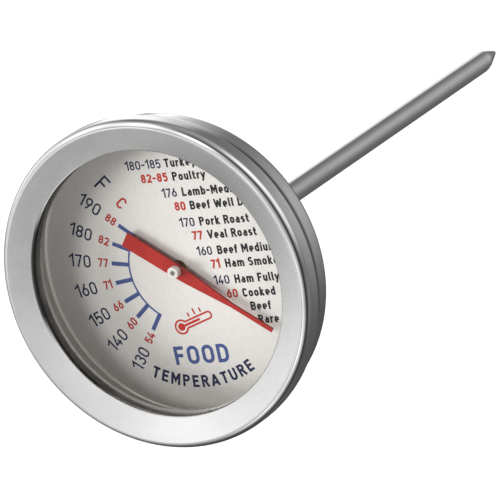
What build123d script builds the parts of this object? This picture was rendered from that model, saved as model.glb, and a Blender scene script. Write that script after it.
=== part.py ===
from build123d import *
import math
import os

os.makedirs("parts", exist_ok=True)

# Dial meat thermometer. Millimetres. +Y runs along the stem from the case to
# the point, the dial faces -Y, 12 o'clock on the dial is +Z, and 3 o'clock is
# +X. The origin is on the stem's axis, in the outer face of the case back,
# where the stem leaves the case. "Front" is towards -Y and "back" towards +Y.
# Every round piece is either a profile drawn in the XY plane as (radius, y)
# and revolved about Y, or a disc extruded backwards from its front face.

# ---- driving dimensions -------------------------------------------------
SHEET = 0.5              # thickness of the pressed stainless sheet
Y_BACK_INSIDE = -SHEET   # inner face of the case back

# bezel
HEAD_R = 27.6            # widest radius of the bezel
WINDOW_R = 22.34         # radius of the opening in the bezel
Y_LIP_FRONT = -10.25     # front corner of the turned-in lip
Y_LIP_BACK = -9.35       # back of the lip, where it bears on the lens
FACE_SLOPE = 0.40        # the bezel face leans forward, going outward
FACE_EDGE_R = 26.27      # the flat of the face ends here
EDGE_R = 0.47            # tight rounding at the outer edge of the face
SHOULDER_TURN = math.radians(50)   # the tight rounding hands over here
Y_SKIRT_BEND = -8.32     # behind this the skirt is drawn in towards the joint
Y_JOINT = -6.75          # rear edge of the bezel skirt
SKIRT_R = 27.10          # outer radius of the skirt at its rear edge

# case back
MOUTH_R = 26.55          # outer radius of the case mouth, inside the skirt
MOUTH_IN_R = MOUTH_R - SHEET
Y_MOUTH_FRONT = -9.6     # front rim of the case mouth
Y_STEP_IN = -6.72        # inside the mouth, the straight wall ends here
Y_FLARE_IN = -6.3        # and the inside of the flare begins here
CASE_R = 27.05           # outer radius of the case just behind the joint
Y_FLARE = Y_JOINT + 0.2  # the flare starts here at CASE_R
FLARE = math.radians(26.3)        # slope at which the case leaves the joint
FLARE_R = 4.5            # hollow that runs the flare into the case wall
FLARE_IN_R = 3.5         # the same bend on the inside of the sheet
CASE_BACK_R = 25.91      # the tapered wall met with the back plane
WALL_TAPER = math.radians(6.67)
CASE_ROUND = 2.73        # rounding between case wall and back

# lens, gasket and spacer
LENS_R = 24.6
LENS_T = 1.6
Y_LENS_BACK = Y_LIP_BACK + LENS_T
GASKET_IN_R = 22.4
Y_GASKET_BACK = Y_LENS_BACK + 0.75
SPACER_IN_R = 24.4

# dial
Y_DIAL = -2.2            # front face of the dial
DIAL_T = 0.4
Y_DIAL_BACK = Y_DIAL + DIAL_T
DIAL_R = 25.2
DIAL_HOLE_R = 1.45

# stem
STEM_R = 2.05
STEM_WALL = 0.35
STEM_IN_R = STEM_R - STEM_WALL
NECK_R = 1.85            # the stem's reduced neck, inside the case back
NECK_IN_R = 1.5          # and its bore
Y_STEM_TOP = -1.5
Y_BORE_STEP = 0.35       # the bore has widened to STEM_IN_R here
Y_CONE = 117.1           # the straight stem ends and the point begins
Y_TIP = 124.5
POINT_HALF_ANGLE = math.radians(16.44)
NOSE_R = 0.42            # the point is rounded off to this radius

# shaft and the pieces on it
SHAFT_R = 0.4
Y_SHAFT_FRONT = -4.38
BORE_R = 0.45            # running bore of every bush
Y_BUSH_FRONT = -1.35
Y_BUSH_BACK = 1.8
WASHER_R = 1.6
WASHER_T = 0.25
GUIDE_T = 3.0            # length of a guide bush along the shaft
Y_COLLAR = 2.11          # front face of the shaft collar
COLLAR_R = 1.2
COLLAR_T = 1.3

# pointer and hub
POINTER_T = 0.4
Y_POINTER = -3.4         # front face of the pointer
Y_POINTER_BACK = Y_POINTER + POINTER_T
POINTER_CLOCK = math.radians(126.2)   # clockwise from 12 o'clock, at rest
POINTER_TIP = 18.75
POINTER_TAIL = 10.08
RIVET_R = 0.7            # hub rivet, and the pointer's hole
RIVET_HEAD_R = 0.95
HUB_R = 0.98
Y_HUB_FRONT = -4.5

# bimetal coil and the pieces at its ends
COIL_R = 1.15            # mean radius of the helix
COIL_T = 0.18            # strip thickness, along the radius
COIL_W = 1.2571          # strip width
COIL_PITCH = 1.9
COIL_TURNS = 17
COIL_LENGTH = COIL_PITCH * COIL_TURNS
Y_COIL = 77.0
Y_COIL_END = Y_COIL + COIL_LENGTH
COIL_SEAT_R = COIL_R - COIL_T / 2 - 0.03   # spigots inside the coil's end turns
COIL_SEAT_REACH = 1.9    # how far a spigot reaches into the coil
Y_SHAFT_END = Y_COIL - 0.4
COUPLING_R = 1.35
Y_COUPLING_FRONT = Y_COIL - 4.9
Y_ANCHOR = Y_COIL_END + 0.8    # front face of the anchor plug
ANCHOR_T = 3.6
Y_ANCHOR_BACK = Y_ANCHOR + ANCHOR_T


# ---- helpers ------------------------------------------------------------
def facing_front(y):
    """Plane at y that faces -Y; a negative extrusion from it runs towards +Y."""
    return Plane.XZ.offset(-y)


def corner(sketch, point):
    """The sketch vertex nearest to an (x, y) point."""
    return sketch.vertices().sort_by_distance((*point, 0))[0]


def turned(profile, fillets=(), chamfers=()):
    """Revolve a closed (radius, y) profile, its (corner, size) pairs eased in order."""
    with BuildPart() as piece:
        with BuildSketch(Plane.XY) as section:
            with BuildLine():
                Polyline(*profile, close=True)
            make_face()
            for point, radius in fillets:
                fillet(corner(section, point), radius)
            for point, length in chamfers:
                chamfer(corner(section, point), length)
        revolve(axis=Axis.Y)
    return piece.part


def save(part, name):
    part.label = name
    export_step(part, f"parts/{name}.step")


# ---- bezel ring ---------------------------------------------------------
# Rolled front ring: a lip turned back onto the lens, a face that leans
# forward going outward, a tight edge that opens into a wider shoulder, and a
# skirt over the case mouth. A turn here is the angle of the outward normal,
# from the radius towards the front.
FACE_TURN = math.pi / 2 + math.atan(FACE_SLOPE)
SKIRT_TURN = -2 * math.atan2(HEAD_R - SKIRT_R, Y_JOINT - Y_SKIRT_BEND)


def on_arc(center, radius, turn):
    return (center[0] + radius * math.cos(turn), center[1] - radius * math.sin(turn))


def face_front(r):
    return Y_LIP_FRONT - FACE_SLOPE * (r - WINDOW_R)


def face_back(r):
    # the sheet's thickness, measured along Y through the sloping face
    return face_front(r) + SHEET * math.sqrt(1 + FACE_SLOPE ** 2)


# The shoulder leaves the tight edge at SHOULDER_TURN and ends at HEAD_R.
shoulder_r = (
    HEAD_R - FACE_EDGE_R - EDGE_R * (math.cos(SHOULDER_TURN) - math.cos(FACE_TURN))
) / (1 - math.cos(SHOULDER_TURN))
face_end = (FACE_EDGE_R, face_front(FACE_EDGE_R))
edge_center = on_arc(face_end, -EDGE_R, FACE_TURN)
edge_mid = on_arc(edge_center, EDGE_R, (FACE_TURN + SHOULDER_TURN) / 2)
edge_end = on_arc(edge_center, EDGE_R, SHOULDER_TURN)
shoulder_center = on_arc(edge_end, -shoulder_r, SHOULDER_TURN)
shoulder_mid = on_arc(shoulder_center, shoulder_r, SHOULDER_TURN / 2)
shoulder_end = on_arc(shoulder_center, shoulder_r, 0)
bend_r = (Y_JOINT - Y_SKIRT_BEND) / math.sin(-SKIRT_TURN)
bend_start = (HEAD_R, Y_SKIRT_BEND)
bend_mid = on_arc((HEAD_R - bend_r, Y_SKIRT_BEND), bend_r, SKIRT_TURN / 2)
skirt_end = (SKIRT_R, Y_JOINT)
lip_front = (WINDOW_R, Y_LIP_FRONT)
lip_back = (WINDOW_R, Y_LIP_BACK)
inner_corner = (MOUTH_R, face_back(MOUTH_R))   # inside, between face and skirt

with BuildPart() as bezel_ring:
    with BuildSketch(Plane.XY) as section:
        with BuildLine():
            Polyline(lip_back, lip_front, face_end)
            ThreePointArc(face_end, edge_mid, edge_end)
            ThreePointArc(edge_end, shoulder_mid, shoulder_end)
            Line(shoulder_end, bend_start)
            ThreePointArc(bend_start, bend_mid, skirt_end)
            Polyline(
                skirt_end,
                (MOUTH_R, Y_JOINT),
                inner_corner,
                (WINDOW_R + SHEET, face_back(WINDOW_R + SHEET)),
                (WINDOW_R + SHEET, Y_LIP_BACK),
                lip_back,
            )
        make_face()
        for point, radius in (
            (lip_front, 0.3),
            (inner_corner, 0.3),
            (skirt_end, 0.2),
            (lip_back, 0.12),
        ):
            fillet(corner(section, point), radius)
    revolve(axis=Axis.Y)
save(bezel_ring.part, "bezel_ring")


# ---- case back ----------------------------------------------------------
# One pressed cup: stepped mouth that the bezel skirt grips, a flare behind the
# joint that hollows into a slightly tapered wall, a full rounding at the rear
# and a flat back with the stem's hole. An inset of SHEET gives the inside.
def wall_radius(y, inset=0.0):
    return CASE_BACK_R - math.tan(WALL_TAPER) * y - inset / math.cos(WALL_TAPER)


def flare_radius(y, inset=0.0):
    return CASE_R - math.tan(FLARE) * (y - Y_FLARE) - inset / math.cos(FLARE)


def knee(inset=0.0):
    """Where the flare and the wall would meet in a corner."""
    gap = flare_radius(0, inset) - wall_radius(0, inset)
    y = gap / (math.tan(FLARE) - math.tan(WALL_TAPER))
    return (wall_radius(y, inset), y)


flare_start = (CASE_R, Y_FLARE)
back_corner = (CASE_BACK_R, 0)
back_corner_in = (wall_radius(Y_BACK_INSIDE, SHEET), Y_BACK_INSIDE)

case_back = turned(
    [
        (MOUTH_IN_R, Y_MOUTH_FRONT),
        (MOUTH_R, Y_MOUTH_FRONT),
        (MOUTH_R, Y_JOINT),
        flare_start,
        knee(),
        back_corner,
        (NECK_R, 0),
        (NECK_R, Y_BACK_INSIDE),
        back_corner_in,
        knee(SHEET),
        (flare_radius(Y_FLARE_IN, SHEET), Y_FLARE_IN),
        (MOUTH_IN_R, Y_STEP_IN),
    ],
    fillets=[
        (back_corner, CASE_ROUND),
        (back_corner_in, CASE_ROUND - SHEET),
        (knee(), FLARE_R),
        (knee(SHEET), FLARE_IN_R),
        (flare_start, 0.15),
    ],
)
save(case_back, "case_back")

# ---- lens ---------------------------------------------------------------
with BuildPart() as lens:
    with BuildSketch(facing_front(Y_LIP_BACK)):
        Circle(LENS_R)
    extrude(amount=-LENS_T)
    chamfer(lens.edges().filter_by(GeomType.CIRCLE), 0.15)
save(lens.part, "lens")

# ---- lens gasket --------------------------------------------------------
# L section: a web around the lens edge and a flange behind the lens.
lens_gasket = turned(
    [
        (LENS_R, Y_LIP_BACK),
        (MOUTH_IN_R, Y_LIP_BACK),
        (MOUTH_IN_R, Y_GASKET_BACK),
        (GASKET_IN_R, Y_GASKET_BACK),
        (GASKET_IN_R, Y_LENS_BACK),
        (LENS_R, Y_LENS_BACK),
    ],
    fillets=[((GASKET_IN_R, Y_GASKET_BACK), 0.15)],
)
save(lens_gasket, "lens_gasket")

# ---- spacer ring --------------------------------------------------------
# Rolled sheet ring that holds the lens and gasket off the dial: an outward
# flange in the case mouth, a tube, an outward foot and a small inward bead
# that rests on the dial.
SPACER_TUBE_R = SPACER_IN_R + 0.45      # outer radius of the tube
SPACER_FLANGE_R = MOUTH_IN_R - 0.05
Y_FLANGE_BACK = Y_GASKET_BACK + 0.25
SPACER_FOOT_R = DIAL_R + 0.05
Y_FOOT_FRONT = Y_DIAL - 0.4
BEAD_IN_R = SPACER_IN_R - 0.22
Y_BEAD_CREST = Y_DIAL - 0.3             # front corner of the bead's inner edge
Y_BEAD_FRONT = Y_DIAL - 0.55            # the bead meets the tube

spacer_ring = turned(
    [
        (SPACER_IN_R, Y_GASKET_BACK),
        (SPACER_FLANGE_R, Y_GASKET_BACK),
        (SPACER_FLANGE_R, Y_FLANGE_BACK),
        (SPACER_TUBE_R, Y_FLANGE_BACK),
        (SPACER_TUBE_R, Y_FOOT_FRONT),
        (SPACER_FOOT_R, Y_FOOT_FRONT),
        (SPACER_FOOT_R, Y_DIAL),
        (BEAD_IN_R, Y_DIAL),
        (BEAD_IN_R, Y_BEAD_CREST),
        (SPACER_IN_R, Y_BEAD_FRONT),
    ],
    fillets=[((BEAD_IN_R, Y_BEAD_CREST), 0.14), ((SPACER_IN_R, Y_GASKET_BACK), 0.15)],
)
save(spacer_ring, "spacer_ring")

# ---- dial plate ---------------------------------------------------------
with BuildPart() as dial_plate:
    with BuildSketch(facing_front(Y_DIAL)):
        Circle(DIAL_R)
    extrude(amount=-DIAL_T)
    with Locations(facing_front(Y_DIAL)):
        Hole(DIAL_HOLE_R, depth=DIAL_T)
    # the front edge of the hole
    front_edges = dial_plate.edges().filter_by(GeomType.CIRCLE).sort_by(Axis.Y)[:2]
    chamfer(front_edges.sort_by(SortBy.RADIUS)[0], 0.1)
save(dial_plate.part, "dial_plate")

# ---- dial support ring --------------------------------------------------
# Flat ring between dial and case back, with four notches in its inner edge.
SUPPORT_R = 23.3
SUPPORT_IN_R = 20.6
NOTCH_R = 1.2

with BuildPart() as dial_support_ring:
    with BuildSketch(facing_front(Y_DIAL_BACK)):
        Circle(SUPPORT_R)
        Circle(SUPPORT_IN_R, mode=Mode.SUBTRACT)
        with PolarLocations(SUPPORT_IN_R, 4, start_angle=45):
            Circle(NOTCH_R, mode=Mode.SUBTRACT)
    extrude(amount=-(Y_BACK_INSIDE - Y_DIAL_BACK))
save(dial_support_ring.part, "dial_support_ring")

# ---- stem collar --------------------------------------------------------
# Flanged collar on the stem, welded to the inside of the case back.
SLEEVE_R = 3.1
FLANGE_R = 6.0
Y_FLANGE_FRONT = -1.1

stem_collar = turned(
    [
        (NECK_R, Y_STEM_TOP),
        (SLEEVE_R, Y_STEM_TOP),
        (SLEEVE_R, Y_FLANGE_FRONT),
        (FLANGE_R, Y_FLANGE_FRONT),
        (FLANGE_R, Y_BACK_INSIDE),
        (NECK_R, Y_BACK_INSIDE),
    ],
    fillets=[((FLANGE_R, Y_FLANGE_FRONT), 0.2), ((SLEEVE_R, Y_FLANGE_FRONT), 0.15)],
)
save(stem_collar, "stem_collar")

# ---- stem tube ----------------------------------------------------------
# Drawn tube with a reduced neck; the shoulder sits on the case back.
stem_tube = turned(
    [
        (NECK_IN_R, Y_STEM_TOP),
        (NECK_R, Y_STEM_TOP),
        (NECK_R, 0),
        (STEM_R, 0),
        (STEM_R, Y_CONE),
        (STEM_IN_R, Y_CONE),
        (STEM_IN_R, Y_BORE_STEP),
        (NECK_IN_R, 0),
    ],
    chamfers=[((NECK_R, Y_STEM_TOP), 0.1)],
)
save(stem_tube, "stem_tube")

# ---- stem tip -----------------------------------------------------------
# Solid point with a spigot pressed into the tube. Its side bends gradually
# from the stem's wall into a cone, and the cone ends in a small round nose.
SPIGOT_LENGTH = 3.2
SPIGOT_BEVEL = 0.3

point_cos = math.cos(POINT_HALF_ANGLE)
point_sin = math.sin(POINT_HALF_ANGLE)
y_nose = Y_TIP - NOSE_R                 # centre of the nose rounding
y_apex = y_nose + NOSE_R / point_sin    # the sharp cone would end here
y_base = y_apex - STEM_R / math.tan(POINT_HALF_ANGLE)   # and reach STEM_R here
blend_r = (y_base - Y_CONE) / math.tan(POINT_HALF_ANGLE / 2)
blend_end = (STEM_R - blend_r * (1 - point_cos), Y_CONE + blend_r * point_sin)
nose_start = (NOSE_R * point_cos, y_nose + NOSE_R * point_sin)

with BuildPart() as stem_tip:
    with BuildSketch(Plane.XY):
        with BuildLine():
            Polyline(
                (0, Y_TIP),
                (0, Y_CONE - SPIGOT_LENGTH),
                (STEM_IN_R - SPIGOT_BEVEL, Y_CONE - SPIGOT_LENGTH),
                (STEM_IN_R, Y_CONE - SPIGOT_LENGTH + SPIGOT_BEVEL),
                (STEM_IN_R, Y_CONE),
                (STEM_R, Y_CONE),
            )
            TangentArc((STEM_R, Y_CONE), blend_end, tangent=(0, 1))
            Line(blend_end, nose_start)
            TangentArc(nose_start, (0, Y_TIP), tangent=(-point_sin, point_cos))
        make_face()
    revolve(axis=Axis.Y)
save(stem_tip.part, "stem_tip")

# ---- bushes on the shaft ------------------------------------------------
shaft_bush = turned(
    [
        (BORE_R, Y_BUSH_FRONT),
        (NECK_IN_R, Y_BUSH_FRONT),
        (NECK_IN_R, 0),
        (STEM_IN_R, Y_BORE_STEP),
        (STEM_IN_R, Y_BUSH_BACK),
        (BORE_R, Y_BUSH_BACK),
    ],
    chamfers=[((BORE_R, Y_BUSH_FRONT), 0.25)],
)
save(shaft_bush, "shaft_bush")

with BuildPart() as thrust_washer:
    with BuildSketch(facing_front(Y_BUSH_BACK)):
        Circle(WASHER_R)
        Circle(BORE_R, mode=Mode.SUBTRACT)
    extrude(amount=-WASHER_T)
save(thrust_washer.part, "thrust_washer")

# Guide bushes in the stem, each with its bore chamfered at both ends.
for name, y_front in (("guide_bush_mid", 34.0), ("guide_bush_lower", 66.0)):
    with BuildPart() as guide_bush:
        with BuildSketch(facing_front(y_front)):
            Circle(STEM_IN_R)
            Circle(BORE_R, mode=Mode.SUBTRACT)
        extrude(amount=-GUIDE_T)
        chamfer(guide_bush.edges().filter_by(GeomType.CIRCLE).sort_by(SortBy.RADIUS)[:2], 0.2)
    save(guide_bush.part, name)

# ---- coil anchor --------------------------------------------------------
# Plug fixed in the stem near the point; the coil's last turn sits on its
# spigot. A flat is milled along the plug's +Z side so air can pass.
FLAT_WIDTH = 2.4
FLAT_CUT = 0.6           # height of the cutter, centred on the plug's surface

with BuildPart() as coil_anchor:
    with BuildSketch(Plane.XY) as section:
        with BuildLine():
            Polyline(
                (0, Y_COIL_END - COIL_SEAT_REACH),
                (COIL_SEAT_R, Y_COIL_END - COIL_SEAT_REACH),
                (COIL_SEAT_R, Y_ANCHOR),
                (STEM_IN_R, Y_ANCHOR),
                (STEM_IN_R, Y_ANCHOR_BACK),
                (0, Y_ANCHOR_BACK),
                close=True,
            )
        make_face()
        chamfer(corner(section, (STEM_IN_R, Y_ANCHOR_BACK)), 0.2)
    revolve(axis=Axis.Y)
    with BuildSketch(facing_front(Y_ANCHOR)):
        with Locations((0, STEM_IN_R)):
            Rectangle(FLAT_WIDTH, FLAT_CUT)
    extrude(amount=-ANCHOR_T, mode=Mode.SUBTRACT)
save(coil_anchor.part, "coil_anchor")

# ---- bimetal coil -------------------------------------------------------
with BuildPart() as bimetal_coil:
    with BuildLine() as helix:
        Helix(
            pitch=COIL_PITCH,
            height=COIL_LENGTH,
            radius=COIL_R,
            center=(0, Y_COIL, 0),
            direction=(0, 1, 0),
        )
    start = helix.line @ 0
    tangent = helix.line % 0
    radial = Vector(start.X, 0, start.Z).normalized()
    with BuildSketch(Plane(origin=start, x_dir=radial, z_dir=tangent)):
        Rectangle(COIL_T, COIL_W)
    sweep(path=helix.line, is_frenet=True)
save(bimetal_coil.part, "bimetal_coil")

# ---- coil coupling ------------------------------------------------------
# Sleeve crimped on the shaft; the coil's first turn sits on its end.
coil_coupling = turned(
    [
        (0, Y_COIL + COIL_SEAT_REACH),
        (COIL_SEAT_R, Y_COIL + COIL_SEAT_REACH),
        (COIL_SEAT_R, Y_COIL - 0.9),
        (COUPLING_R, Y_COIL - 0.9),
        (COUPLING_R, Y_COUPLING_FRONT),
        (SHAFT_R, Y_COUPLING_FRONT),
        (SHAFT_R, Y_SHAFT_END),
        (0, Y_SHAFT_END),
    ],
    fillets=[((COUPLING_R, Y_COUPLING_FRONT), 0.2)],
)
save(coil_coupling, "coil_coupling")

# ---- pointer shaft ------------------------------------------------------
pointer_shaft = turned(
    [
        (0, Y_SHAFT_FRONT),
        (SHAFT_R, Y_SHAFT_FRONT),
        (SHAFT_R, Y_SHAFT_END),
        (0, Y_SHAFT_END),
    ],
    chamfers=[((SHAFT_R, Y_SHAFT_FRONT), 0.1)],
)
save(pointer_shaft, "pointer_shaft")

# ---- shaft collar -------------------------------------------------------
with BuildPart() as shaft_collar:
    with BuildSketch(facing_front(Y_COLLAR)):
        Circle(COLLAR_R)
        Circle(SHAFT_R, mode=Mode.SUBTRACT)
    extrude(amount=-COLLAR_T)
    # both outer rims
    fillet(shaft_collar.edges().filter_by(GeomType.CIRCLE).sort_by(SortBy.RADIUS)[-2:], 0.15)
save(shaft_collar.part, "shaft_collar")

# ---- pointer ------------------------------------------------------------
# Flat stamping drawn along local x (tip +x), then laid at its rest angle.
# Seen from the front, clock angle c has direction (sin c, cos c) in (X, Z).
pointer_plane = Plane(
    origin=(0, Y_POINTER, 0),
    x_dir=(math.sin(POINTER_CLOCK), 0, math.cos(POINTER_CLOCK)),
    z_dir=(0, 1, 0),
)
# (distance from the shaft towards the tip, half width)
POINTER_HALF = [
    (-POINTER_TAIL, 1.31),
    (0.0, 1.19),
    (2.2, 1.10),
    (10.9, 0.36),
    (POINTER_TIP, 0.36),
]
other_half = [(x, -half_width) for x, half_width in reversed(POINTER_HALF)]

with BuildPart() as pointer:
    with BuildSketch(pointer_plane):
        with BuildLine():
            Polyline(*POINTER_HALF, *other_half, close=True)
        make_face()
        Circle(RIVET_R, mode=Mode.SUBTRACT)
    extrude(amount=POINTER_T)
save(pointer.part, "pointer")

# ---- pointer hub --------------------------------------------------------
# Turned hub riveted through the pointer, pressed on the shaft.
Y_RIVET_BACK = Y_POINTER_BACK + 0.15

pointer_hub = turned(
    [
        (SHAFT_R, Y_HUB_FRONT),
        (HUB_R, Y_HUB_FRONT),
        (HUB_R, Y_POINTER),
        (RIVET_R, Y_POINTER),
        (RIVET_R, Y_POINTER_BACK),
        (RIVET_HEAD_R, Y_POINTER_BACK),
        (RIVET_HEAD_R, Y_RIVET_BACK),
        (SHAFT_R, Y_RIVET_BACK),
    ],
    fillets=[((HUB_R, Y_HUB_FRONT), 0.12)],
)
save(pointer_hub, "pointer_hub")
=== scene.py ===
"""Dial meat thermometer: a round head on a long pointed stem.

The axis is Y. The dial faces -Y, with its text reading along +X and its top at +Z. The rear
of the case is at y = 0 and the stem runs from there to its point at +Y. Dimensions are in mm.
"""
import math
from functools import cached_property

import bpy
import bmesh
from mathutils import Matrix, Vector
from mathutils.geometry import delaunay_2d_cdt


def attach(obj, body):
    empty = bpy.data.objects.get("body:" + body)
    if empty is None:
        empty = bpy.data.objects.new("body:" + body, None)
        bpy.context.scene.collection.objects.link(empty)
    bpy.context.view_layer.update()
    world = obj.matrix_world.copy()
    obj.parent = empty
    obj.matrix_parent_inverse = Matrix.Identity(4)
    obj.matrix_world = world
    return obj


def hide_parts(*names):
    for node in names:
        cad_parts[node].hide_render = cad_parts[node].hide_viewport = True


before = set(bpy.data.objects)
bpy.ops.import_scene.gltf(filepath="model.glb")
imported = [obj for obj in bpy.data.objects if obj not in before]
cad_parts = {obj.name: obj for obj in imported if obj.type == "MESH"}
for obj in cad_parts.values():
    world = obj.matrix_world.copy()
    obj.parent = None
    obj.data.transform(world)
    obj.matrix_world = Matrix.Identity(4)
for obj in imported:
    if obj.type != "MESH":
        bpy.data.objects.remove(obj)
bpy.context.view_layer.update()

MM = 0.001
ROOT, TRAIN = "case", "pointer_train"

# Levels along Y and radii that several pieces share
LENS_FRONT, LENS_REAR, LENS_R = -9.35, -7.75, 24.6
GASKET_REAR, GASKET_R = -7.0, 26.05
JOINT_REAR, JOINT_R = -6.75, 26.55      # where the bezel skirt ends on the case
DIAL_FACE, DIAL_REAR = -2.2, -1.8
SHEET = 0.5                             # sheet thickness of bezel and case
STEM_R, STEM_NECK_R, STEM_BORE_R = 2.05, 1.85, 1.70
TIP_SEAM = 117.1                        # where the point meets the tube
POINTER_FRONT, POINTER_REAR = -3.4, -3.0
POINTER_HOLE_R, SHAFT_R = 0.7, 0.4


# ------------------------------------------------------------------ mesh helpers
def pairs(items):
    """Each item with the next, round a closed loop."""
    return zip(items, items[1:] + items[:1])


def finish_mesh(name, bm, material, body, replaces=None, sharp=32):
    bmesh.ops.recalc_face_normals(bm, faces=bm.faces)
    mesh = bpy.data.meshes.new(name)
    bm.to_mesh(mesh)
    bm.free()
    for polygon in mesh.polygons:
        polygon.use_smooth = True
    mesh.set_sharp_from_angle(angle=math.radians(sharp))
    ob = bpy.data.objects.new(name, mesh)
    bpy.context.scene.collection.objects.link(ob)
    mesh.materials.append(material)
    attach(ob, body)
    if replaces:
        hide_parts(replaces)
    return ob


def oval_arc(cx, cy, rx, ry, start, end, steps=14):
    """Points of an elliptical arc, angles in degrees from +x towards +y."""
    angles = [math.radians(start + (end - start) * k / steps) for k in range(steps + 1)]
    return [(cx + rx * math.cos(q), cy + ry * math.sin(q)) for q in angles]


def arc(cx, cy, radius, start, end, steps):
    return oval_arc(cx, cy, radius, radius, start, end, steps)


def rounded(points, steps=8):
    """Closed outline of (r, y, optional fillet radius) corners, with its corners rounded."""
    out = []
    for i, (*corner, radius) in enumerate([p if len(p) > 2 else (*p, 0) for p in points]):
        p = Vector(corner)
        if radius <= 0:
            out.append((p.x, p.y))
            continue
        to_last = Vector(points[i - 1][:2]) - p
        to_next = Vector(points[(i + 1) % len(points)][:2]) - p
        half = to_last.angle(to_next) / 2
        setback = radius / math.tan(half)
        setback = min(setback, to_last.length * 0.98, to_next.length * 0.98)
        radius = setback * math.tan(half)
        to_last.normalize()
        to_next.normalize()
        start, end = p + to_last * setback, p + to_next * setback
        centre = p + (to_last + to_next).normalized() * (radius / math.sin(half))
        angle = math.atan2(start.y - centre.y, start.x - centre.x)
        end_angle = math.atan2(end.y - centre.y, end.x - centre.x)
        turn = (end_angle - angle + math.pi) % (2 * math.pi) - math.pi
        for k in range(steps + 1):
            q = angle + turn * k / steps
            out.append((centre.x + radius * math.cos(q), centre.y + radius * math.sin(q)))
    return out


def lathe(name, outline, segments, material, body, replaces, sharp=32):
    """Revolves a closed (r, y) outline about Y. Points with r 0 are shared on the axis."""
    bm = bmesh.new()
    turns = [2 * math.pi * k / segments for k in range(segments)]
    rings = []
    for r, y in outline:
        if r < 1e-6:
            rings.append([bm.verts.new((0, y * MM, 0))])
        else:
            rings.append([bm.verts.new((r * math.sin(t) * MM, y * MM, r * math.cos(t) * MM))
                          for t in turns])
    for a, b in pairs(rings):
        if len(a) == 1 and len(b) == 1:
            continue
        for k in range(segments):
            k2 = (k + 1) % segments
            if len(a) == 1:
                bm.faces.new((a[0], b[k], b[k2]))
            elif len(b) == 1:
                bm.faces.new((a[k], b[0], a[k2]))
            else:
                bm.faces.new((a[k], b[k], b[k2], a[k2]))
    return finish_mesh(name, bm, material, body, replaces, sharp)


# ------------------------------------------------------------------ shader helpers
class Nodes:
    """Short-hand for building a node tree. A node given as an input stands for its first output."""

    def __init__(self, owner, output_kind):
        owner.use_nodes = True
        self.owner, self.tree = owner, owner.node_tree
        self.tree.nodes.clear()
        self.output = self.tree.nodes.new(output_kind)

    def node(self, kind, inputs=None, **settings):
        node = self.tree.nodes.new(kind)
        for key, value in settings.items():
            setattr(node, key, value)
        for key, value in (inputs or {}).items():
            self.feed(node.inputs[key], value)
        return node

    def feed(self, socket, value):
        if isinstance(value, bpy.types.Node):
            value = value.outputs[0]
        if isinstance(value, bpy.types.NodeSocket):
            self.tree.links.new(value, socket)
        else:
            socket.default_value = value

    def finish(self, shader):
        self.feed(self.output.inputs[0], shader)
        return self.owner

    def chain(self, operation, total, *terms):
        for term in terms:
            total = self.node("ShaderNodeMath", {0: total, 1: term}, operation=operation)
        return total

    def add(self, *terms):
        return self.chain("ADD", *terms)

    def sub(self, a, b):
        return self.chain("SUBTRACT", a, b)

    def mul(self, *terms):
        return self.chain("MULTIPLY", *terms)

    def most(self, *terms):
        return self.chain("MAXIMUM", *terms)

    def weighted(self, *terms):
        """Sum of (value, weight) terms."""
        total = self.mul(*terms[-1])
        for term in reversed(terms[:-1]):
            total = self.add(self.mul(*term), total)
        return total


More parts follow.
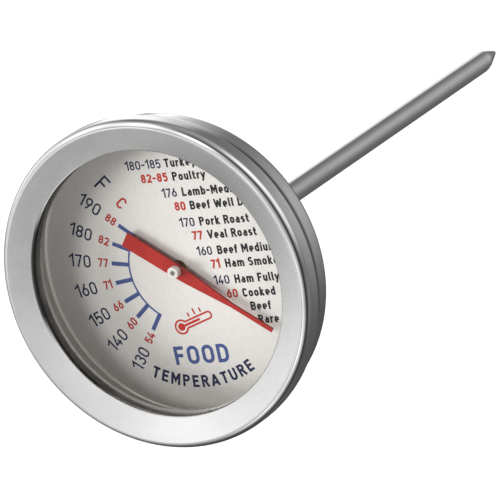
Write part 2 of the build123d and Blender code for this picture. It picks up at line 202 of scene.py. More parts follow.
class Material(Nodes):
    """Node material with patterns laid out in millimetres on the object."""

    def __init__(self, name):
        super().__init__(bpy.data.materials.new(name), "ShaderNodeOutputMaterial")

    @cached_property
    def position(self):
        place = self.node("ShaderNodeTexCoord").outputs["Object"]
        return self.scaled(place, (1000, 1000, 1000))

    @cached_property
    def xyz(self):
        return self.node("ShaderNodeSeparateXYZ", {0: self.position}).outputs

    @cached_property
    def radius(self):
        """Distance from the Y axis."""
        x, _, z = self.xyz
        return self.chain("SQRT", self.add(self.mul(x, x), self.mul(z, z)), 0.0)

    def scaled(self, vector, factors):
        return self.node("ShaderNodeVectorMath", {0: vector, 1: factors}, operation="MULTIPLY")

    def noise(self, scale, detail, rough, vector=None, w=None):
        inputs = {"Vector": vector or self.position, "Scale": scale, "Detail": detail,
                  "Roughness": rough}
        if w is not None:
            inputs["W"] = w
        return self.node("ShaderNodeTexNoise", inputs,
                         noise_dimensions="3D" if w is None else "4D")

    def stretched(self, factors, detail, rough):
        """Noise with its own scale along x, y and z."""
        return self.noise(1.0, detail, rough, vector=self.scaled(self.position, factors))

    def turned(self, along, across, detail=4, rough=0.6):
        """Noise for marks that run around the axis: slow along the turn, fast across it."""
        x, y, z = self.xyz
        r = self.most(self.radius, 0.01)
        vector = self.node("ShaderNodeCombineXYZ", {
            0: self.mul(self.chain("DIVIDE", x, r), along), 1: self.mul(self.radius, across),
            2: self.mul(self.chain("DIVIDE", z, r), along)})
        return self.noise(1.0, detail, rough, vector=vector, w=self.mul(y, across))

    def remap(self, value, start, end, at_start, at_end):
        return self.node("ShaderNodeMapRange",
                         {0: value, 1: start, 2: end, 3: at_start, 4: at_end})

    def rise(self, value, start, end):
        """0 below start, 1 above end."""
        return self.remap(value, start, end, 0.0, 1.0)

    def fall(self, value, start, end):
        """1 below start, 0 above end."""
        return self.remap(value, start, end, 1.0, 0.0)

    def ramp(self, value, low, high, start=0.3, end=0.7):
        """Colour from low to high as the value goes from start to end."""
        node = self.node("ShaderNodeValToRGB", {0: value})
        for stop, place, colour in zip(node.color_ramp.elements, (start, end), (low, high)):
            stop.position = place
            stop.color = (*colour, 1)
        return node

    def mix(self, amount, a, b):
        return self.node("ShaderNodeMix", {0: amount, 6: a, 7: b}, data_type="RGBA").outputs[2]

    def bump(self, height, strength, distance=0.00002):
        return self.node("ShaderNodeBump",
                         {"Strength": strength, "Distance": distance, "Height": height})

    def principled(self, **inputs):
        return self.node("ShaderNodeBsdfPrincipled",
                         {key.replace("_", " "): value for key, value in inputs.items()})

    def polished(self, start, end, amount, tint, **inputs):
        """Metal whose last few degrees before the outline turn dark: a painted dark reflection, as
        of a dark surround.
        """
        metal = self.principled(Specular_Tint=(tint, tint, tint, 1), Metallic=1.0, **inputs)
        weight = self.node("ShaderNodeLayerWeight", {"Blend": 0.5})
        painted_dark_reflection = self.principled(Base_Color=(0.03, 0.03, 0.032, 1), Roughness=0.7,
                              Specular_IOR_Level=0.0)
        edge = self.remap(weight.outputs["Facing"], start, end, 0.0, amount)
        return self.finish(self.node("ShaderNodeMixShader", {0: edge, 1: metal, 2: painted_dark_reflection}))


# ------------------------------------------------------------------ materials
# painted dark reflection: how far the dark matt shader reaches in from the outline of the sheet
# metal and of the stem
SHEET_EDGE = dict(start=0.84, end=0.96, amount=0.85, tint=0.5)      # dark outline of the case
STEM_EDGE = dict(start=0.86, end=0.97, amount=0.6, tint=0.75)
# dark for painted shade on the bezel and for the dark seams of bezel and case
DARK_FOR_SHADE_AND_SEAM = (0.03, 0.03, 0.03, 1)


def bezel_steel():
    m = Material("bezel_satin_steel")
    x, y, z = m.xyz
    r = m.radius
    brush = m.turned(along=2.2, across=9.0)
    grain = m.noise(scale=9.0, detail=4, rough=0.65)
    cloud = m.noise(scale=0.35, detail=3, rough=0.55)
    satin = m.fall(r, 26.25, 26.45)         # 1 on the satin face, 0 on the polished shoulder
    skirt = m.rise(y, -10.2, -9.6)
    rough = m.add(
        m.mul(satin, 0.235), 0.028,         # satin over polish
        m.mul(skirt, 0.035),
        m.mul(m.sub(grain, 0.5), m.add(0.02, m.mul(satin, 0.10))),
        m.mul(m.sub(cloud, 0.5), m.add(0.015, m.mul(satin, 0.06))))
    base = m.ramp(m.weighted((brush, 0.35), (grain, 0.35), (cloud, 0.30)),
                  (0.67, 0.67, 0.665), (0.79, 0.79, 0.785), start=0.32, end=0.68)
    # painted shade on the turned-in edge at -X; the rear end of the skirt, strongest at +Z, is a
    # dark seam
    lip_painted_shade = m.mul(m.fall(r, 22.36, 22.46),
                m.mul(m.rise(y, -10.12, -10.0), m.fall(x, -15.5, -11.0)))
    seam = m.mul(m.rise(y, -6.93, -6.84), m.remap(z, 2.0, 13.0, 0.35, 1.0))
    # painted shade on the inner face of the turned-in edge, at -X above the middle
    side = m.mul(m.fall(x, -20.0, -17.0),
                 m.mul(m.rise(z, -9.0, -4.0), m.fall(r, 22.58, 22.78)))
    # painted dark reflection: a fine dark line where the face edge runs into the shoulder, fading
    # out towards +Z
    line = m.mul(m.rise(y, -11.38, -11.30), m.fall(y, -11.12, -11.04), m.rise(r, 26.55, 26.65),
                 m.remap(m.sub(z, m.mul(x, 0.45)), 18.0, 24.0, 0.9, 0.0))
    # painted shade and painted dark reflection, together with the dark seam
    painted_dark_and_seam = m.most(lip_painted_shade, side, seam, line)
    height = m.add(m.mul(brush, 0.30), m.mul(grain, m.add(m.mul(satin, 0.65), 0.03)))
    return m.polished(**SHEET_EDGE, Base_Color=m.mix(m.mul(painted_dark_and_seam, 0.93), base, DARK_FOR_SHADE_AND_SEAM),
                      Roughness=m.add(rough, m.mul(painted_dark_and_seam, 0.3)),
                      Normal=m.bump(height, strength=0.16))


def case_steel():
    m = Material("case_brushed_steel")
    _, y, z = m.xyz
    brush = m.turned(along=1.6, across=7.0, detail=5, rough=0.65)
    cloud = m.noise(scale=0.2, detail=2, rough=0.5)
    scuff = m.noise(scale=1.6, detail=4, rough=0.7)
    base = m.ramp(m.weighted((brush, 0.6), (cloud, 0.4)),
                  (0.66, 0.66, 0.655), (0.76, 0.76, 0.755), start=0.32, end=0.68)
    # dark front end of the flare, against the bezel
    seam = m.mul(m.fall(y, -6.52, -6.42), m.remap(z, 2.0, 13.0, 0.35, 1.0))
    rough = m.add(
        m.add(0.07, m.mul(brush, 0.07)),
        m.mul(m.most(m.sub(scuff, 0.62), 0.0), 0.5),        # only the strongest scuffs
        m.mul(m.rise(y, -0.3, -0.02), 0.12))                # duller rear face
    return m.polished(**SHEET_EDGE, Base_Color=m.mix(m.mul(seam, 0.95), base, DARK_FOR_SHADE_AND_SEAM),
                      Roughness=rough, Normal=m.bump(brush, strength=0.16))


def stem_steel():
    m = Material("stem_drawn_steel")
    draw = m.stretched((5.5, 0.10, 5.5), detail=4, rough=0.6)       # draw lines along the tube
    turn = m.stretched((0.4, 9.0, 0.4), detail=3, rough=0.6)        # polishing marks around it
    cloud = m.noise(scale=0.25, detail=2, rough=0.5)
    base = m.ramp(m.weighted((draw, 0.6), (cloud, 0.4)), (0.68, 0.68, 0.675), (0.78, 0.78, 0.775))
    height = m.weighted((draw, 0.6), (turn, 0.4))
    return m.polished(**STEM_EDGE, Base_Color=base,
                      Roughness=m.add(0.05, m.mul(m.add(draw, turn), 0.035)),
                      Normal=m.bump(height, strength=0.12))


def dial_aluminium():
    m = Material("dial_brushed_aluminium")
    brush = m.stretched((8.0, 1.0, 0.45), detail=5, rough=0.65)     # straight brushing along Z
    fleck = m.stretched((4.6, 1.0, 1.3), detail=3, rough=0.65)      # mottle of the lacquer
    cloud = m.noise(scale=0.08, detail=2, rough=0.5)
    base = m.ramp(m.weighted((brush, 0.35), (fleck, 0.5), (cloud, 0.15)),
                  (0.685, 0.671, 0.650), (0.835, 0.821, 0.803), start=0.32, end=0.68)
    height = m.weighted((brush, 0.5), (fleck, 0.5))
    return m.finish(m.principled(
        Base_Color=base, Metallic=0.12, Roughness=m.add(0.34, m.mul(fleck, 0.16)),
        Normal=m.bump(height, strength=0.25, distance=0.00003)))


def spacer_steel():
    m = Material("spacer_bright_steel")
    brush = m.turned(along=1.5, across=8.0)
    bead = m.rise(m.xyz[1], -2.78, -2.70)       # bead that holds the dial down, pale and mostly matt as a painted highlight
    base = m.ramp(brush, (0.58, 0.57, 0.55), (0.72, 0.71, 0.69))
    return m.finish(m.principled(
        Base_Color=m.mix(bead, base, (0.95, 0.93, 0.90, 1)),
        Metallic=m.sub(1.0, m.mul(bead, 0.75)),
        Roughness=m.sub(m.add(0.26, m.mul(brush, 0.12)), m.mul(bead, 0.1)),
        Normal=m.bump(brush, strength=0.2)))


def gasket_rubber():
    m = Material("gasket_dark_rubber")
    grain = m.noise(scale=7.0, detail=4, rough=0.6)
    cloud = m.noise(scale=0.4, detail=2, rough=0.5)
    base = m.ramp(m.weighted((grain, 0.6), (cloud, 0.4)),
                  (0.20, 0.195, 0.185), (0.29, 0.283, 0.27))
    # paler towards -Z: painted light round the lower half
    painted_light_low = m.ramp(grain, (0.72, 0.705, 0.68), (0.84, 0.825, 0.80))
    return m.finish(m.principled(
        Base_Color=m.mix(m.fall(m.xyz[2], -12.0, 9.0), base, painted_light_low),
        Roughness=m.add(0.42, m.mul(grain, 0.2)),
        Normal=m.bump(grain, strength=0.3, distance=0.00003)))


def red_paint():
    m = Material("pointer_red_paint")
    grain = m.noise(scale=6.0, detail=4, rough=0.6)
    cloud = m.noise(scale=0.5, detail=2, rough=0.5)
    base = m.ramp(m.weighted((grain, 0.5), (cloud, 0.5)),
                  (0.33, 0.020, 0.016), (0.44, 0.031, 0.025))
    return m.finish(m.principled(
        Base_Color=base, Roughness=m.add(0.32, m.mul(grain, 0.15)), Specular_IOR_Level=0.22,
        Normal=m.bump(grain, strength=0.2, distance=0.00003)))


def pale_aluminium():
    m = Material("hub_pale_aluminium")
    brush = m.turned(along=1.0, across=14.0)
    return m.finish(m.principled(
        Base_Color=m.ramp(brush, (0.83, 0.81, 0.78), (0.93, 0.91, 0.88)), Metallic=0.35,
        Roughness=m.add(0.32, m.mul(brush, 0.15)), Normal=m.bump(brush, strength=0.25)))


def turned_metal(name, low, high, rough):
    m = Material(name)
    brush = m.turned(along=1.0, across=10.0)
    cloud = m.noise(scale=0.5, detail=2, rough=0.5)
    return m.finish(m.principled(
        Base_Color=m.ramp(m.weighted((brush, 0.6), (cloud, 0.4)), low, high), Metallic=1.0,
        Roughness=m.add(rough, m.mul(brush, 0.12)), Normal=m.bump(brush, strength=0.3)))


def ink(name, low, high):
    m = Material(name)
    grain = m.noise(scale=5.0, detail=3, rough=0.6)
    return m.finish(m.principled(
        Base_Color=m.ramp(grain, low, high), Roughness=m.add(0.38, m.mul(grain, 0.2)),
        Specular_IOR_Level=0.12, Normal=m.bump(grain, strength=0.15)))


def lens_glass():
    """Clear to the camera, slightly dimming for light, with a faint smeared reflection."""
    m = Material("lens_clear_glass")
    smear = m.noise(scale=0.5, detail=3, rough=0.6)
    rough = m.mul(m.most(m.sub(smear, 0.5), 0.0), 0.12)
    camera = m.node("ShaderNodeLightPath").outputs["Is Camera Ray"]
    tint = m.mix(camera, (0.775, 0.765, 0.755, 1), (0.992, 0.994, 0.992, 1))
    clear = m.node("ShaderNodeBsdfTransparent", {"Color": tint})
    gloss = m.node("ShaderNodeBsdfGlossy", {"Color": (1, 1, 1, 1), "Roughness": rough})
    fresnel = m.node("ShaderNodeFresnel", {"IOR": 1.45})
    amount = m.mul(fresnel, 0.22, camera)
    return m.finish(m.node("ShaderNodeMixShader", {0: amount, 1: clear, 2: gloss}))


def floor_white():
    m = Material("floor_pale")
    base = m.ramp(m.noise(scale=0.02, detail=3, rough=0.5), (0.90, 0.90, 0.90), (0.93, 0.93, 0.93))
    diffuse = m.node("ShaderNodeBsdfDiffuse", {"Color": base})
    glow = m.node("ShaderNodeEmission", {"Color": (1, 1, 1, 1), "Strength": 0.75})
    return m.finish(m.node("ShaderNodeAddShader", {0: diffuse, 1: glow}))


BEZEL, CASE, STEM, DIAL = bezel_steel(), case_steel(), stem_steel(), dial_aluminium()
SPACER, GASKET, RED_PAINT = spacer_steel(), gasket_rubber(), red_paint()
PALE, GLASS = pale_aluminium(), lens_glass()
BRASS = turned_metal("bush_turned_brass", (0.50, 0.33, 0.12), (0.68, 0.47, 0.20), rough=0.24)
STEEL = turned_metal("plain_turned_steel", (0.42, 0.42, 0.41), (0.60, 0.60, 0.585), rough=0.24)
BIMETAL = turned_metal("bimetal_strip", (0.36, 0.33, 0.29), (0.52, 0.48, 0.43), rough=0.30)
INK_NAVY = ink("ink_navy", (0.013, 0.017, 0.055), (0.022, 0.028, 0.085))
INK_BLUE = ink("ink_blue", (0.052, 0.082, 0.235), (0.072, 0.108, 0.285))
INK_RED = ink("ink_red", (0.40, 0.026, 0.020), (0.52, 0.042, 0.030))
INK_BLACK = ink("ink_black", (0.012, 0.012, 0.014), (0.026, 0.026, 0.030))

# ------------------------------------------------------------------ turned and pressed pieces
# Outlines are (r, y, optional fillet radius).
HEAD_SEGMENTS, STEM_SEGMENTS = 320, 128

# Bezel: sloping flat face, tight edge, rolled shoulder, skirt drawn in behind
WINDOW_R = 22.34
FACE_SLOPE = 0.40           # advance towards -Y per mm of radius
BEZEL_R = 27.6
SHOULDER_R, SKIRT_R = 2.3889, 2.7149
EDGE_END = -50              # degrees, where the tight edge meets the shoulder


def face_front(r):
    return -10.25 - FACE_SLOPE * (r - WINDOW_R)


def face_rear(r):
    return face_front(r) + SHEET * math.sqrt(1 + FACE_SLOPE * FACE_SLOPE)


def bezel():
    edge_start = -90 - math.degrees(math.atan(FACE_SLOPE))
    lip_r = WINDOW_R + SHEET
    outline = [
        (WINDOW_R, LENS_FRONT, 0.12), (WINDOW_R, face_front(WINDOW_R), 0.3),
        *arc(26.4446, -11.3856, 0.47, edge_start, EDGE_END, 10),
        *arc(BEZEL_R - SHOULDER_R, -9.9157, SHOULDER_R, EDGE_END, 0, 18)[1:],
        *arc(BEZEL_R - SKIRT_R, -8.32, SKIRT_R, 0, 35.3304, 12)[:-1],
        (27.10, JOINT_REAR, 0.12), (JOINT_R, JOINT_REAR), (JOINT_R, face_rear(JOINT_R), 0.3),
        (lip_r, face_rear(lip_r), 0.1), (lip_r, LENS_FRONT, 0.05),
    ]
    lathe("bezel_ring_body", rounded(outline, 10), HEAD_SEGMENTS, BEZEL, ROOT,
          "bezel_ring", sharp=50)


# Case back: a flare behind the joint runs into a slightly tapered wall
FLARE_FRONT_R, FLARE_FRONT = 27.05, -6.55
FLARE_TAN = math.tan(math.radians(26.3))
WALL_REAR_R = 25.91
WALL_TAN = math.tan(math.radians(6.67))
REAR_FILLET = 2.73


def wall_radius(y, inset=0.0):
    return WALL_REAR_R - WALL_TAN * y - inset * math.hypot(1, WALL_TAN)


def flare_radius(y, inset=0.0):
    return FLARE_FRONT_R - FLARE_TAN * (y - FLARE_FRONT) - inset * math.hypot(1, FLARE_TAN)


def knee(inset=0.0):
    """Where the flare meets the wall."""
    y = (flare_radius(0, inset) - wall_radius(0, inset)) / (FLARE_TAN - WALL_TAN)
    return wall_radius(y, inset), y


def case_back():
    outline = [
        (GASKET_R, -9.6), (JOINT_R, -9.6), (JOINT_R, JOINT_REAR),
        (FLARE_FRONT_R, FLARE_FRONT, 0.12), (*knee(), 4.5), (WALL_REAR_R, 0, REAR_FILLET),
        (STEM_NECK_R, 0), (STEM_NECK_R, -SHEET),
        (wall_radius(-SHEET, SHEET), -SHEET, REAR_FILLET - SHEET), (*knee(SHEET), 3.5),
        (flare_radius(-6.3, SHEET), -6.3), (GASKET_R, -6.72),
    ]
    lathe("case_back_cup", rounded(outline, 12), HEAD_SEGMENTS, CASE, ROOT,
          "case_back")


def lens():
    outline = [(0, LENS_FRONT), (LENS_R, LENS_FRONT, 0.15), (LENS_R, LENS_REAR, 0.15),
               (0, LENS_REAR)]
    lathe("lens_disc", rounded(outline, 4), HEAD_SEGMENTS, GLASS, ROOT, "lens")


def lens_gasket():
    """L-section ring round the rim and the rear of the lens."""
    inner_r = 22.4
    outline = [
        (LENS_R, LENS_FRONT), (GASKET_R, LENS_FRONT), (GASKET_R, GASKET_REAR),
        (inner_r, GASKET_REAR, 0.15), (inner_r, LENS_REAR, 0.06), (LENS_R, LENS_REAR),
    ]
    lathe("lens_gasket_ring", rounded(outline, 4), HEAD_SEGMENTS, GASKET, ROOT,
          "lens_gasket")


def spacer_ring():
    """Thin band with a front flange and a bead on the dial."""
    inner_r, band_r, flange_r = 24.4, 24.85, 26.0
    bead_r, foot_r = 24.18, 25.25
    outline = [
        (inner_r, GASKET_REAR, 0.15), (flange_r, GASKET_REAR), (flange_r, JOINT_REAR),
        (band_r, JOINT_REAR), (band_r, -2.6), (foot_r, -2.6), (foot_r, DIAL_FACE),
        (bead_r, DIAL_FACE), (bead_r, -2.5, 0.14), (inner_r, -2.75, 0.1),
    ]
    lathe("spacer_ring_band", rounded(outline, 6), HEAD_SEGMENTS, SPACER, ROOT,
          "spacer_ring")


def dial_plate():
    hole_r, rim_r = 1.45, 25.2
    outline = [(hole_r, DIAL_FACE, 0.1), (rim_r, DIAL_FACE, 0.08), (rim_r, DIAL_REAR),
               (hole_r, DIAL_REAR)]
    lathe("dial_plate_disc", rounded(outline, 4), HEAD_SEGMENTS, DIAL, ROOT,
          "dial_plate")


def stem_tube():
    """Tube with a reduced neck in the case."""
    neck_front, neck_bore_r = -1.5, 1.50
    outline = [
        (neck_bore_r, neck_front), (STEM_NECK_R, neck_front, 0.1), (STEM_NECK_R, 0), (STEM_R, 0),
        (STEM_R, TIP_SEAM), (STEM_BORE_R, TIP_SEAM), (STEM_BORE_R, 0.35), (neck_bore_r, 0),
    ]
    lathe("stem_tube_drawn", rounded(outline, 3), STEM_SEGMENTS, STEM, ROOT,
          "stem_tube")


def stem_tip():
    """Plug in the tube, then a long bend into a cone with a small round nose."""
    tip_end, nose_r, cone_deg = 124.5, 0.42, 16.44
    cone = math.radians(cone_deg)
    nose_y = tip_end - nose_r
    # level at which the cone, carried on, would reach the stem's radius
    cone_start = nose_y + nose_r / math.sin(cone) - STEM_R / math.tan(cone)
    bend_r = (cone_start - TIP_SEAM) / math.tan(cone / 2)
    bend = arc(STEM_R - bend_r, TIP_SEAM, bend_r, 0, cone_deg, 16)
    nose = arc(0, nose_y, nose_r, cone_deg, 90, 8)
    (x1, y1), (x2, y2) = bend[-1], nose[0]
    flank = [(x1 + (x2 - x1) * k / 8, y1 + (y2 - y1) * k / 8) for k in range(1, 9)]
    plug = [(0, TIP_SEAM - 3.2), (1.4, TIP_SEAM - 3.2), (STEM_BORE_R, TIP_SEAM - 2.9),
            (STEM_BORE_R, TIP_SEAM)]
    lathe("stem_tip_point", plug + bend + flank + nose[1:-1] + [(0, tip_end)], STEM_SEGMENTS,
          STEM, ROOT, "stem_tip")


def pointer_hub():
    cap_r, cap_front, flange_r, flange_rear = 0.98, -4.5, 0.95, -2.85
    outline = [
        (SHAFT_R, cap_front, 0.05), (cap_r, cap_front, 0.12), (cap_r, POINTER_FRONT),
        (POINTER_HOLE_R, POINTER_FRONT), (POINTER_HOLE_R, POINTER_REAR),
        (flange_r, POINTER_REAR), (flange_r, flange_rear), (SHAFT_R, flange_rear),
    ]
    lathe("pointer_hub_turned", rounded(outline, 5), 72, PALE, TRAIN,
          "pointer_hub")


def pointer_shaft():
    """Long rod whose front end, in the hub's bore, is hollowed."""
    front, rear = -4.38, 76.6
    outline = [(0, -3.95), (0.22, -4.30), (0.29, front, 0.02), (SHAFT_R, front, 0.03),
               (SHAFT_R, rear), (0, rear)]
    lathe("pointer_shaft_rod", rounded(outline, 4), 32, STEEL, TRAIN,
          "pointer_shaft")


# Pointer: (distance from the axis along the pointer, half width)
POINTER_HALF = [(-10.08, 1.31), (0.0, 1.19), (2.2, 1.10), (10.9, 0.36), (18.75, 0.36)]
POINTER_CLOCK = math.radians(126.2)         # from +Z towards +X
POINTER_HOLE_STEPS = 24


def pointer():
    """Flat stamping with softened edges and a hole for the hub."""
    bm = bmesh.new()
    px, pz = math.sin(POINTER_CLOCK), math.cos(POINTER_CLOCK)
    turns = [2 * math.pi * k / POINTER_HOLE_STEPS for k in range(POINTER_HOLE_STEPS)]
    rim = POINTER_HALF + [(along, -half) for along, half in reversed(POINTER_HALF)]
    hole = [(POINTER_HOLE_R * math.cos(q), POINTER_HOLE_R * math.sin(q)) for q in turns]

    def vertices(points, y):
        return [bm.verts.new(((a * px + h * pz) * MM, y * MM, (a * pz - h * px) * MM))
                for a, h in points]

    rim_front, rim_rear = vertices(rim, POINTER_FRONT), vertices(rim, POINTER_REAR)
    hole_front, hole_rear = vertices(hole, POINTER_FRONT), vertices(hole, POINTER_REAR)
    for (a, b), (c, d) in zip(pairs(rim_front), pairs(rim_rear)):
        bm.faces.new((a, b, d, c))
    for (a, b), (c, d) in zip(pairs(hole_front), pairs(hole_rear)):
        bm.faces.new((a, c, d, b))
    for outer, inner in ((rim_front, hole_front), (rim_rear, hole_rear)):
        edges = [bm.edges.get(ends) for loop in (outer, inner) for ends in pairs(loop)]
        bmesh.ops.triangle_fill(bm, use_beauty=True, edges=edges)
    ob = finish_mesh("pointer_stamping", bm, RED_PAINT, TRAIN, "pointer", sharp=30)
    bevel = ob.modifiers.new("edge", "BEVEL")
    bevel.width, bevel.segments = 0.04 * MM, 2
    bevel.limit_method, bevel.angle_limit = "ANGLE", math.radians(40)


for build_piece in (bezel, case_back, lens, lens_gasket, spacer_ring, dial_plate, stem_tube,
                    stem_tip, pointer_hub, pointer_shaft, pointer):
    build_piece()

# ------------------------------------------------------------------ lettering
# Glyphs have cap height 1, straight sides and even strokes.
SMALL_HEIGHT = 0.72
GLYPH_WIDTHS = {char: width for width, chars in {
    0.22: " ", 0.24: "l", 0.36: "ft", 0.38: "r", 0.40: "1", 0.42: "-", 0.48: "s", 0.52: "a",
    0.53: "nu", 0.54: "FLbdeoky", 0.56: "7E", 0.58: "235", 0.60: "0689CST", 0.62: "4BPR",
    0.64: "DU", 0.66: "HOV", 0.70: "A", 0.80: "M", 0.86: "m", 0.92: "W",
}.items() for char in chars}


def glyph_width(char, pen):
    return pen if char == "i" else GLYPH_WIDTHS[char]


def line(*points):
    return list(points), False


def loop(*points):
    return list(points), True


def oval(cx, cy, rx, ry, steps):
    return loop(*oval_arc(cx, cy, rx, ry, 0, 360, steps)[:-1])


def stadium(left, right, bottom, top):
    rx = (right - left) / 2
    ry = min(rx, (top - bottom) / 2)
    cx = (left + right) / 2
    return loop(*oval_arc(cx, top - ry, rx, ry, 0, 180),
                *oval_arc(cx, bottom + ry, rx, ry, 180, 360))


def glyph(char, pen):
    """Strokes of a letter or figure, as (centre line, closed), for a pen of the given width."""
    half = pen / 2
    width = glyph_width(char, pen)
    left, right, centre = half, width - half, width / 2
    base, cap, small = half, 1 - half, SMALL_HEIGHT - half
    bow = right - centre                    # radius of a full-width bow
    near, far = half * 0.5, width - half * 0.5      # ends of slanted strokes
    stem, small_stem = line((left, 0.0), (left, 1.0)), line((left, 0.0), (left, SMALL_HEIGHT))
    right_stem = line((right, 0.0), (right, 1.0))
    small_bar = line((0.0, small), (0.34, small))
    waist = 0.53 if char in "38" else 0.52
    upper, lower = (cap - waist) / 2, (waist - base) / 2    # bow heights about the waist
    match char:
        case " ":
            return []
        case "-":
            return [line((0.0, 0.46), (width, 0.46))]
        case "0" | "O":
            return [stadium(left, right, base, cap)]
        case "1":
            return [line((0.0, 0.74), (right, 0.985), (right, 0.0))]
        case "2":
            return [line(*oval_arc(centre, cap - 0.235, bow, 0.235, 168, -28),
                         (left + 0.01, base), (width, base))]
        case "3":
            return [line(*oval_arc(centre, (cap + waist) / 2, bow - 0.01, upper, 158, -90)),
                    line(*oval_arc(centre, (base + waist) / 2, bow, lower, 90, -158))]
        case "4":
            return [line((0.40, 1.0), (left * 0.9, 0.27), (width, 0.27)),
                    line((0.44, 0.52), (0.44, 0.0))]
        case "5":
            return [line((width - 0.04, cap), (left + 0.03, cap), (left + 0.01, 0.50),
                         *oval_arc(centre, base + 0.245, bow, 0.275, 128, -155))]
        case "6":
            ry = 0.265
            return [oval(centre, base + ry, bow, ry, 26),
                    line((centre + 0.09, 1.0), (left + 0.035, base + ry + 0.09))]
        case "7":
            return [line((0.0, cap), (width - half * 0.8, cap), (0.20, 0.0))]
        case "8":
            return [oval(centre, (cap + waist) / 2, bow - 0.02, upper, 24),
                    oval(centre, (base + waist) / 2, bow, lower, 24)]
        case "9":
            ry = 0.265
            return [oval(centre, cap - ry, bow, ry, 26),
                    line((centre - 0.09, 0.0), (right - 0.035, cap - ry - 0.09))]
        case "A":
            return [line((near, 0.0), (centre, 1 - half * 0.6), (far, 0.0)),
                    line((0.15, 0.27), (width - 0.15, 0.27))]
        case "B" | "P" | "R":
            x = right - upper
            strokes = [stem, line((left, cap), (x, cap), *arc(x, cap - upper, upper, 90, -90, 10),
                                  (left, waist))]
            if char == "B":
                x = right - lower + 0.02
                strokes.append(line((left, waist), (x, waist),
                                    *arc(x, base + lower, lower, 90, -90, 10), (left, base)))
            if char == "R":
                strokes.append(line((width * 0.50, waist), (width - half * 0.3, 0.0)))
            return strokes
        case "C":
            return [line(*arc(centre, cap - bow, bow, 12, 180, 12),
                         *arc(centre, base + bow, bow, 180, 348, 12))]
        case "D":
            r = 0.26
            return [loop((left, base), (left, cap), (right - r, cap),
                         *arc(right - r, cap - r, r, 90, 0, 8),
                         *arc(right - r, base + r, r, 0, -90, 8))]
        case "E":
            return [line((width, cap), (left, cap), (left, base), (width, base)),
                    line((left, 0.52), (width - 0.05, 0.52))]
        case "F":
            return [line((width, cap), (left, cap), (left, 0.0)),
                    line((left, 0.50), (width - 0.06, 0.50))]
        case "H":
            return [stem, right_stem, line((left, 0.5), (right, 0.5))]
        case "L":
            return [line((left, 1.0), (left, base), (width, base))]
        case "M":
            shoulder = 1.0 - half * 0.2
            return [line((left, 0.0), (left, shoulder), (centre, 0.36), (right, shoulder),
                         (right, 0.0))]
        case "S":
            return [line(*oval_arc(centre, cap - upper, bow, upper, 25, 270),
                         *oval_arc(centre, base + lower, bow, lower, 90, -155)[1:])]
        case "T":
            return [line((0, cap), (width, cap)), line((centre, cap), (centre, 0.0))]
        case "U":
            return [line((left, 1.0), *arc(centre, base + bow, bow, 180, 360, 12), (right, 1.0))]
        case "V":
            return [line((near, 1.0), (centre, half * 0.6), (far, 1.0))]
        case "W":
            return [line((near, 1.0), (0.26, near), (centre, 0.82), (width - 0.26, near),
                         (far, 1.0))]
        case "a":
            r, low = 0.17, 0.148
            return [line((left + 0.05, small - 0.03), *arc(right - r, small - r, r, 90, 0, 8),
                         (right, 0.0)),
                    line((right, base), (left + low, base),
                         *arc(left + low, base + low, low, 270, 90, 10),
                         (right, base + 2 * low))]
        case "b":
            return [stadium(left, right, base, small), stem]
        case "d":
            return [stadium(left, right, base, small), right_stem]
        case "e":
            bar = (base + small) / 2 - 0.02
            return [line((left, bar), (right, bar), *arc(centre, small - bow, bow, 0, 180, 12),
                         *arc(centre, base + bow, bow, 180, 298, 12))]
        case "f":
            x = 0.15
            return [line((width, cap), *arc(x + x, cap - x, x, 90, 180, 8), (x, 0.0)), small_bar]
        case "i":
            return [small_stem, line((half, 1.0), (half, 1.0 - pen))]
        case "k":
            return [stem, line((right, SMALL_HEIGHT), (left, 0.30)),
                    line((0.21, 0.40), (width - half * 0.6, 0.0))]
        case "l":
            r = 0.08
            return [line((left, 1.0), (left, base + r), *arc(left + r, base + r, r, 180, 270, 5),
                         (width, base))]
        case "m":
            r = (centre - left) / 2
            return [small_stem,
                    line(*arc(left + r, small - r, r, 180, 0, 10), (centre, 0)),
                    line(*arc(centre + r, small - r, r, 180, 0, 10), (right, 0))]
        case "n":
            return [small_stem, line(*arc(centre, small - bow, bow, 180, 0, 12), (right, 0.0))]
        case "o":
            return [stadium(left, right, base, small)]
        case "r":
            return [small_stem,
                    line(*arc(left + 0.2, small - 0.2, 0.2, 180, 82, 8), (width, small))]
        case "s":
            ry = (small - (base + small) / 2) / 2
            top, bottom = (centre, small - ry, bow, ry), (centre, base + ry, bow, ry)
            return [line(*oval_arc(*top, 35, 180, 8), (left + 0.02, small - ry),
                         *oval_arc(*top, 200, 265, 5), *oval_arc(*bottom, 85, 0, 6),
                         *oval_arc(*bottom, 0, -145, 10))]
        case "t":
            x, r = 0.14, 0.13
            return [line((x, 0.93), (x, base + r), *arc(0.27, base + r, r, 180, 270, 6),
                         (width, base)), small_bar]
        case "u":
            return [line((left, SMALL_HEIGHT), *arc(centre, base + bow, bow, 180, 360, 12)),
                    line((right, SMALL_HEIGHT), (right, 0.0))]
        case "y":
            return [line((near, SMALL_HEIGHT), (centre, 0.04)),
                    line((far, SMALL_HEIGHT), (0.13, -0.26))]
    raise ValueError(char)


